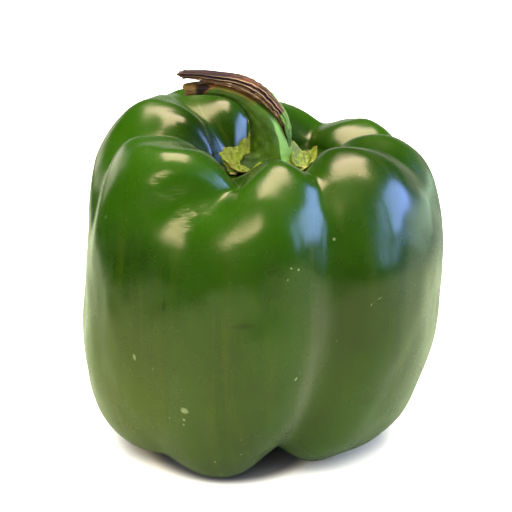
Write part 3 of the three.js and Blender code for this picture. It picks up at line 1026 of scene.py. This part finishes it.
class BELLPEPPER_OT_dried_strand(bpy.types.Operator):
    """Grow the brown strand that has split from the stalk"""

    bl_idname = "bellpepper.dried_strand"
    bl_label = "Grow Dried Strand"

    def execute(self, context):
        look = context.scene.bell_pepper

        def shape(angle, share):
            ribs = 0.06 * stripe_tone(angle, share) + 0.04 * np.cos(3 * angle + 2.2 * share)
            return 1 + ribs * ease(share / 0.25) + 0.03 * np.sin(31 * share + 2 * angle)

        bar, points, angle, share = grown_bar(
            "pepper_dried_strand", DRIED_STRAND, shape, sides=144, steps=110
        )
        tip = rise(share, 0.95, 0.05)
        points[:, 0] += tip * (0.7 * np.sin(2 * angle + 0.6) + 0.35 * np.sin(7 * angle))
        points[:, 2] += tip * 0.2 * np.sin(5 * angle)
        points += 0.07 * waves(points, 2.4, seed=41)[:, None] * (1, 1, 0)
        set_coordinates(bar, in_frame(points))
        degrees = np.degrees(angle)
        foot = fall(share, 0.21, 0.12)
        outer = facing(degrees, 16, 36) * fall(share, 0.42, 0.26)
        crack = facing(degrees, -122, 17) * fall(share, 0.33, 0.1)
        mark(bar, "fresh", np.maximum(1.1 * foot, outer) - 1.8 * crack)
        lasting = rise(share, 0.22, 0.12) * (1 - 0.5 * rise(share, 0.6, 0.3))
        mark(bar, "stripe", stripe_tone(angle, share) * lasting)
        mark(bar, "dark", np.maximum(rise(share, 0.5, 0.26), crack))
        mark(bar, "cut", rise(share, 0.972, 0.022) * 0.7)
        finish_piece(bar, husk_finish(look), "stem")
        return {"FINISHED"}


def tapered(angle, share):
    """Round section that thins towards its end."""
    return 1 - 0.6 * share**3


class BELLPEPPER_OT_fibres(bpy.types.Operator):
    """Lay torn fibres along the split"""

    bl_idname = "bellpepper.fibres"
    bl_label = "Lay Fibres"

    def execute(self, context):
        look = context.scene.bell_pepper
        rng = np.random.default_rng(12)
        finish = fibre_finish(look)
        for index in range(FIBRE_COUNT):
            start, end = rng.uniform(0.2, 0.42), rng.uniform(0.72, 0.98)
            side = rng.uniform(-1.25, -0.5)
            below = rng.uniform(0.1, 1.0)
            shares = np.linspace(start, end, 14)
            drift = 0.18 * np.sin(shares * rng.uniform(9, 20) + rng.uniform(0, 6))
            x, height, thickness, width = spline(DRIED_STRAND, shares).T
            thin = np.full(len(shares), FIBRE_THICKNESS)
            height = height - thickness / 2 * below + drift
            stations = np.stack([x - 0.35 * below, height, thin, thin], -1)
            fibre, points, _, share = grown_bar(
                f"pepper_fibre_{index + 1}", stations, tapered, sides=8, steps=40
            )
            points[:, 1] += side * np.interp(share, np.linspace(0, 1, len(width)), width / 2) * 0.8
            set_coordinates(fibre, in_frame(points))
            finish_piece(fibre, finish, "stem")
        return {"FINISHED"}


def panel_light(name, centre, size, radiance, glossy=True, diffuse=True):
    """A soft rectangular light that faces the pepper, with the given radiance."""
    light = bpy.data.lights.new(name, "AREA")
    light.shape = "RECTANGLE"
    light.size, light.size_y = size
    strongest = max(radiance)
    light.color = tuple(c / strongest for c in radiance)
    light.energy = strongest * math.pi * size[0] * size[1]
    obj = bpy.data.objects.new(name, light)
    bpy.context.scene.collection.objects.link(obj)
    obj.location = centre
    aim = Vector((0, 0, 0.05)) - Vector(centre)
    obj.rotation_euler = aim.to_track_quat("-Z", "Y").to_euler()
    obj.visible_glossy = glossy
    obj.visible_diffuse = diffuse
    return obj


class BELLPEPPER_OT_studio(bpy.types.Operator):
    """Set the pale table, the soft lights and the camera"""

    bl_idname = "bellpepper.studio"
    bl_label = "Set Studio"

    def execute(self, context):
        scene = context.scene
        look = scene.bell_pepper
        table = added("white_table", bpy.ops.mesh.primitive_plane_add, size=1)
        corners = coordinates(table)
        corners[:, 0] = np.where(corners[:, 0] < 0, *TABLE_X)
        corners[:, 1] = np.where(corners[:, 1] < 0, *TABLE_Y)
        set_coordinates(table, corners)
        table.data.materials.append(table_finish())
        self.lights()
        self.surroundings(scene)
        self.camera(scene, look)
        return {"FINISHED"}

    def lights(self):
        """Panels that only the gloss mirrors, and broad fills that only light the surfaces."""
        for name, centre, size, turn in CEILING_PANELS:
            panel = panel_light(name, centre, size, WARM, diffuse=False)
            panel.rotation_euler = (0, 0, math.radians(turn))
        for panel in MIRRORED_PANELS:
            panel_light(*panel, diffuse=False)
        for panel in FILL_PANELS:
            panel_light(*panel, glossy=False)

    def surroundings(self, scene):
        """A white room that the camera and the surfaces see, and a dim one that the gloss mirrors."""
        world = bpy.data.worlds.new("room")
        scene.world = world
        world.use_nodes = True
        nodes, links = world.node_tree.nodes, world.node_tree.links
        room = nodes["Background"]
        room.inputs["Color"].default_value = (1.0, 0.98, 0.94, 1)
        seen = nodes.new("ShaderNodeLightPath")
        chosen = room
        for ray, color in (
            ("Is Glossy Ray", (0.03, 0.08, 0.005, 1)),
            ("Is Camera Ray", (1, 1, 1, 1)),
        ):
            backdrop = nodes.new("ShaderNodeBackground")
            backdrop.inputs["Color"].default_value = color
            mixed = nodes.new("ShaderNodeMixShader")
            links.new(seen.outputs[ray], mixed.inputs[0])
            links.new(chosen.outputs[0], mixed.inputs[1])
            links.new(backdrop.outputs[0], mixed.inputs[2])
            chosen = mixed
        links.new(chosen.outputs[0], nodes["World Output"].inputs["Surface"])
        scene.view_settings.view_transform = "Standard"

    def camera(self, scene, look):
        """Photograph's view: 3.79 pixels of the 512 for a millimetre at the fruit's middle."""
        image_size, pixels_per_mm, sensor = 512, 3.79, 36
        target = Vector(in_frame((-2, 0, 50)))
        lift = look.camera_elevation
        back = Vector((0, -math.cos(lift), math.sin(lift))) * look.camera_distance
        data = bpy.data.cameras.new("camera")
        data.sensor_width = sensor
        data.lens = pixels_per_mm * look.camera_distance / MM * sensor / image_size
        data.clip_start = 0.01
        camera = bpy.data.objects.new("camera", data)
        scene.collection.objects.link(camera)
        camera.location = target + back
        camera.rotation_euler = (-back).to_track_quat("-Z", "Y").to_euler()
        scene.camera = camera


STEPS = (
    BELLPEPPER_OT_studio,
    BELLPEPPER_OT_fruit,
    BELLPEPPER_OT_calyx,
    BELLPEPPER_OT_stalk,
    BELLPEPPER_OT_dried_strand,
    BELLPEPPER_OT_fibres,
)


class BELLPEPPER_PT_panel(bpy.types.Panel):
    """Steps of the pepper in the sidebar"""

    bl_idname = "BELLPEPPER_PT_panel"
    bl_label = "Bell Pepper"
    bl_space_type = "VIEW_3D"
    bl_region_type = "UI"
    bl_category = "Bell Pepper"

    def draw(self, context):
        for step in STEPS:
            self.layout.operator(step.bl_idname)


CLASSES = (BellPepperLook, *STEPS, BELLPEPPER_PT_panel)


def register():
    for cls in CLASSES:
        bpy.utils.register_class(cls)
    bpy.types.Scene.bell_pepper = bpy.props.PointerProperty(type=BellPepperLook)


def unregister():
    del bpy.types.Scene.bell_pepper
    for cls in reversed(CLASSES):
        bpy.utils.unregister_class(cls)


def main():
    register()
    bpy.ops.bellpepper.studio()
    bpy.ops.bellpepper.fruit()
    bpy.ops.bellpepper.calyx()
    bpy.ops.bellpepper.stalk()
    bpy.ops.bellpepper.dried_strand()
    bpy.ops.bellpepper.fibres()


if __name__ == "__main__":
    main()
